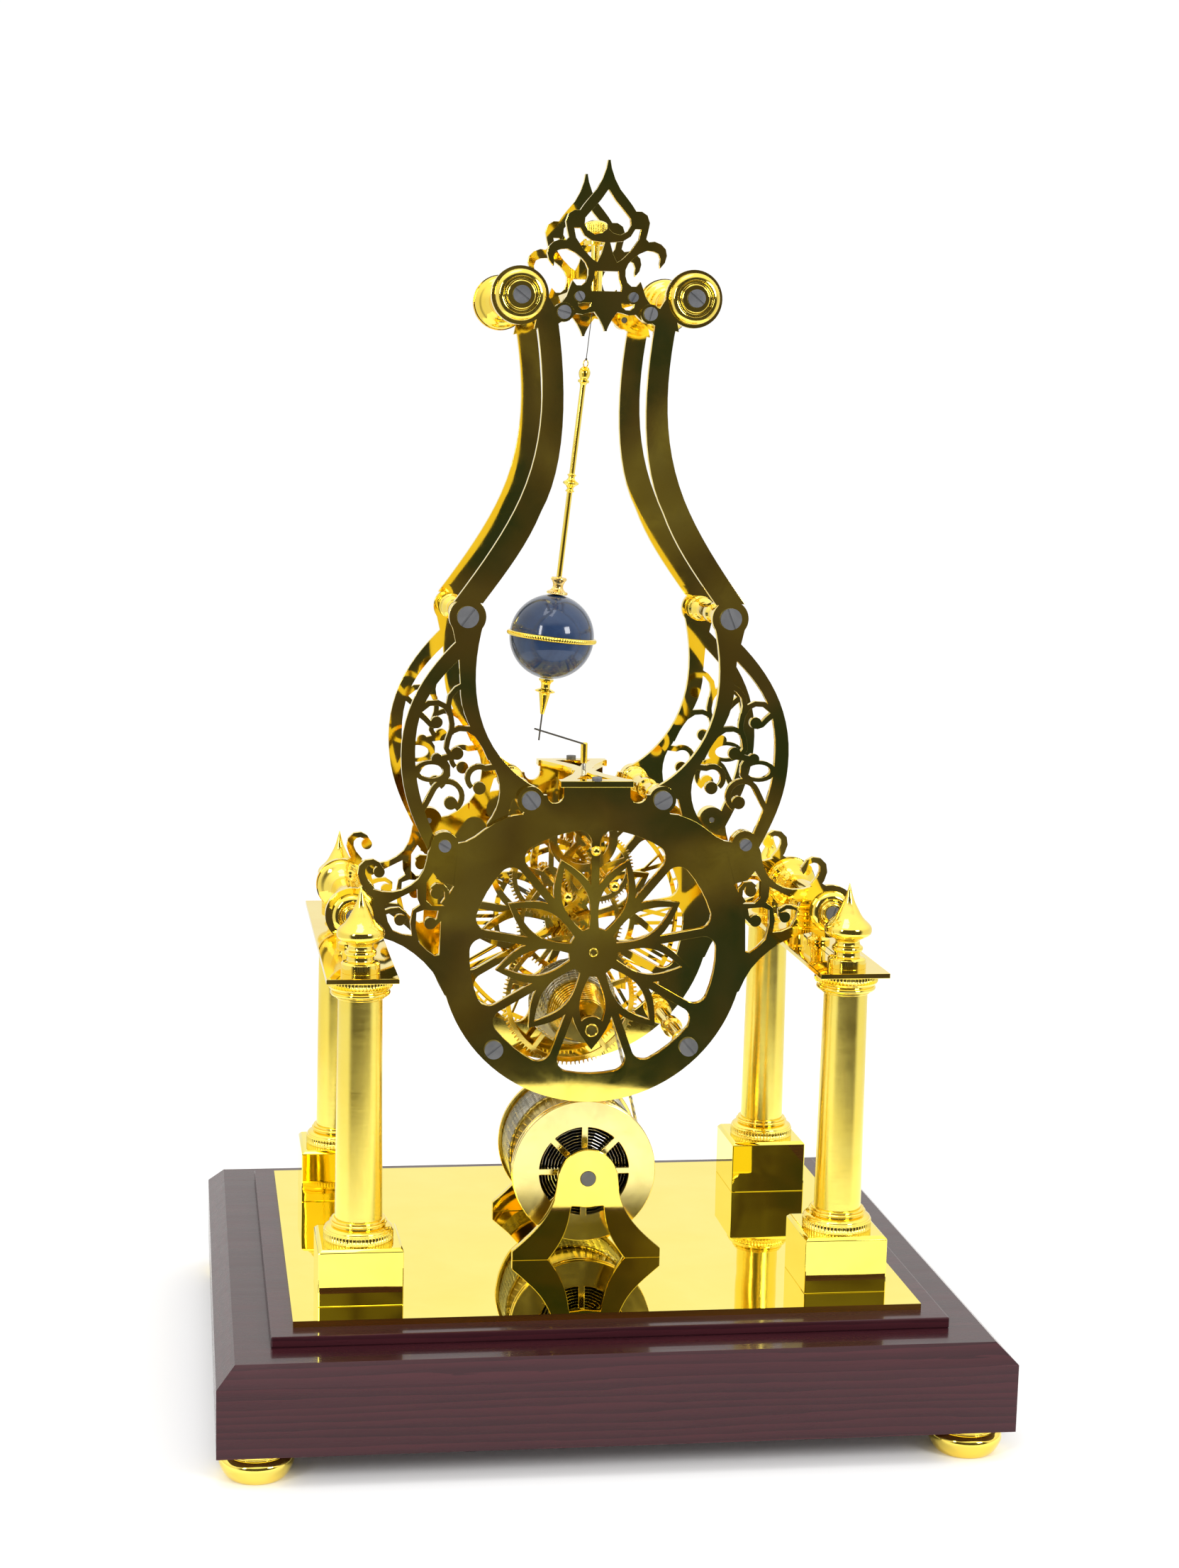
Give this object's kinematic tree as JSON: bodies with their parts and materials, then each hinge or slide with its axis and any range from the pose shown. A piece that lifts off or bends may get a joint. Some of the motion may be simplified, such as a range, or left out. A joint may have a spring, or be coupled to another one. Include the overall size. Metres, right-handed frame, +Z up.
{
  "type": "skeleton clock",
  "caption": "Skeleton clock with pierced brass scroll frames on four columns over a dark wooden base, a fusee movement and a conical pendulum with a ball hung in the open top.",
  "frame": {"origin": "on the floor under the middle of the wooden base", "axes": "+Z up; -Y is the back of the clock, which the picture shows; +Y is the dial side; +X is to the right seen from the back"},
  "size_m": [0.3, 0.256, 0.4841],
  "materials": {
    "mahogany": "high gloss varnish",
    "brass": "polished and lacquered",
    "sole_brass": "mirror polished",
    "wheel_brass": "fine polished",
    "pendulum_brass": "turned and polished",
    "blued_steel": "blued",
    "steel": "polished",
    "spring_steel": "dark satin",
    "navy_lacquer": "high gloss enamel",
    "silk": "twisted silk"
  },
  "bodies": {
    "frame": {"wood_base": "mahogany", "wood_step": "mahogany", "base_plate": "sole_brass", "feet": "brass", "column_blocks": "brass", "column_rings": "brass", "columns": "brass", "tie_rods": "steel", "rod_nuts": "steel", "finials": "brass", "side_bars": "brass", "support_posts": "brass", "lower_spools": "brass", "back_plate": "brass", "front_plate": "brass", "back_lyre_left": "brass", "back_lyre_right": "brass", "front_lyre_left": "brass", "front_lyre_right": "brass", "back_crest": "brass", "front_crest": "brass", "top_spools": "brass", "frame_pillars": "brass", "rosettes": "brass", "frame_screws": "blued_steel", "pivot_caps": "brass", "spindle_bridge": "brass", "spindle_cock": "brass", "barrel_arbor": "steel", "back_stand": "brass", "front_stand": "brass", "setup_ratchet": "blued_steel", "chain_run": "steel", "dial_ring": "brass", "suspension_bar": "brass"},
    "barrel": {"barrel_drum": "wheel_brass", "barrel_cap": "wheel_brass", "mainspring": "spring_steel", "chain_on_barrel": "steel"},
    "fusee": {"fusee": "brass", "chain_on_fusee": "steel"},
    "great_wheel": {"great_wheel": "wheel_brass", "winding_click": "blued_steel"},
    "centre_wheel": {"centre_wheel": "wheel_brass"},
    "third_wheel": {"third_wheel": "wheel_brass"},
    "fourth_wheel": {"fourth_wheel": "wheel_brass"},
    "contrate_wheel": {"contrate_wheel": "wheel_brass"},
    "spindle": {"spindle": "steel", "crank_wire": "steel"},
    "pendulum": {"suspension_thread": "silk", "pendulum_rod": "pendulum_brass", "pendulum_ball": "navy_lacquer", "ball_ring": "pendulum_brass", "drive_needle": "blued_steel"},
    "minute_hand": {"minute_hand": "blued_steel"},
    "minute_wheel": {"minute_wheel": "wheel_brass"},
    "hour_hand": {"hour_hand": "blued_steel"},
    "rating_screw": {"rating_screw": "pendulum_brass", "thread_collet": "pendulum_brass"},
    "setup_click": {"setup_click": "blued_steel"}
  },
  "joints": [
    {"name": "rating_turn", "type": "hinge", "parent": "frame", "child": "rating_screw", "pos_m": [0, 0, 0.454], "axis": [0, 0, 1], "range_deg": [-1440, 1440]},
    {"name": "pendulum_orbit", "type": "hinge", "parent": "frame", "child": "pendulum", "pos_m": [0, 0, 0.436], "axis": [0, 0, 1], "continuous": true},
    {"name": "spindle_spin", "type": "hinge", "parent": "frame", "child": "spindle", "pos_m": [0, 0, 0.24], "axis": [0, 0, 1], "continuous": true},
    {"name": "contrate_spin", "type": "hinge", "parent": "frame", "child": "contrate_wheel", "pos_m": [0, -0.0032, 0.2194], "axis": [0, 1, 0], "continuous": true},
    {"name": "fourth_spin", "type": "hinge", "parent": "frame", "child": "fourth_wheel", "pos_m": [0.0077, 0.0058, 0.2051], "axis": [0, 1, 0], "continuous": true},
    {"name": "third_spin", "type": "hinge", "parent": "frame", "child": "third_wheel", "pos_m": [-0.0109, 0.0108, 0.201], "axis": [0, 1, 0], "continuous": true},
    {"name": "centre_spin", "type": "hinge", "parent": "frame", "child": "centre_wheel", "pos_m": [0, 0.0276, 0.1785], "axis": [0, 1, 0], "continuous": true},
    {"name": "great_spin", "type": "hinge", "parent": "frame", "child": "great_wheel", "pos_m": [0, 0.0223, 0.1468], "axis": [0, 1, 0], "continuous": true},
    {"name": "minute_hand_set", "type": "hinge", "parent": "frame", "child": "minute_hand", "pos_m": [0, 0.0471, 0.1785], "axis": [0, -1, 0], "continuous": true},
    {"name": "minute_wheel_spin", "type": "hinge", "parent": "frame", "child": "minute_wheel", "pos_m": [0, 0.0359, 0.1905], "axis": [0, -1, 0], "continuous": true},
    {"name": "hour_hand_turn", "type": "hinge", "parent": "frame", "child": "hour_hand", "pos_m": [0, 0.0451, 0.1785], "axis": [0, -1, 0], "continuous": true},
    {"name": "barrel_turn", "type": "hinge", "parent": "frame", "child": "barrel", "pos_m": [0, 0, 0.0855], "axis": [0, 1, 0], "range_deg": [-1440, 1520]},
    {"name": "fusee_turn", "type": "hinge", "parent": "frame", "child": "fusee", "pos_m": [0, 0, 0.1468], "axis": [0, 1, 0], "range_deg": [-3070, 3240]},
    {"name": "setup_click_lift", "type": "hinge", "parent": "frame", "child": "setup_click", "pos_m": [0.003, 0.0347, 0.0967], "axis": [0, 1, 0], "range_deg": [0, 8]}
  ],
  "couplings": [
    {"joint": "spindle_spin", "follows": "pendulum_orbit", "ratio": 1},
    {"joint": "contrate_spin", "follows": "pendulum_orbit", "ratio": 0.10667},
    {"joint": "fourth_spin", "follows": "pendulum_orbit", "ratio": -0.013333},
    {"joint": "third_spin", "follows": "pendulum_orbit", "ratio": 0.0016667},
    {"joint": "centre_spin", "follows": "pendulum_orbit", "ratio": -0.00020833},
    {"joint": "great_spin", "follows": "pendulum_orbit", "ratio": 0.000026042},
    {"joint": "minute_wheel_spin", "follows": "minute_hand_set", "ratio": -0.33333},
    {"joint": "hour_hand_turn", "follows": "minute_hand_set", "ratio": 0.083333},
    {"joint": "fusee_turn", "follows": "barrel_turn", "ratio": 2.1264}
  ]
}
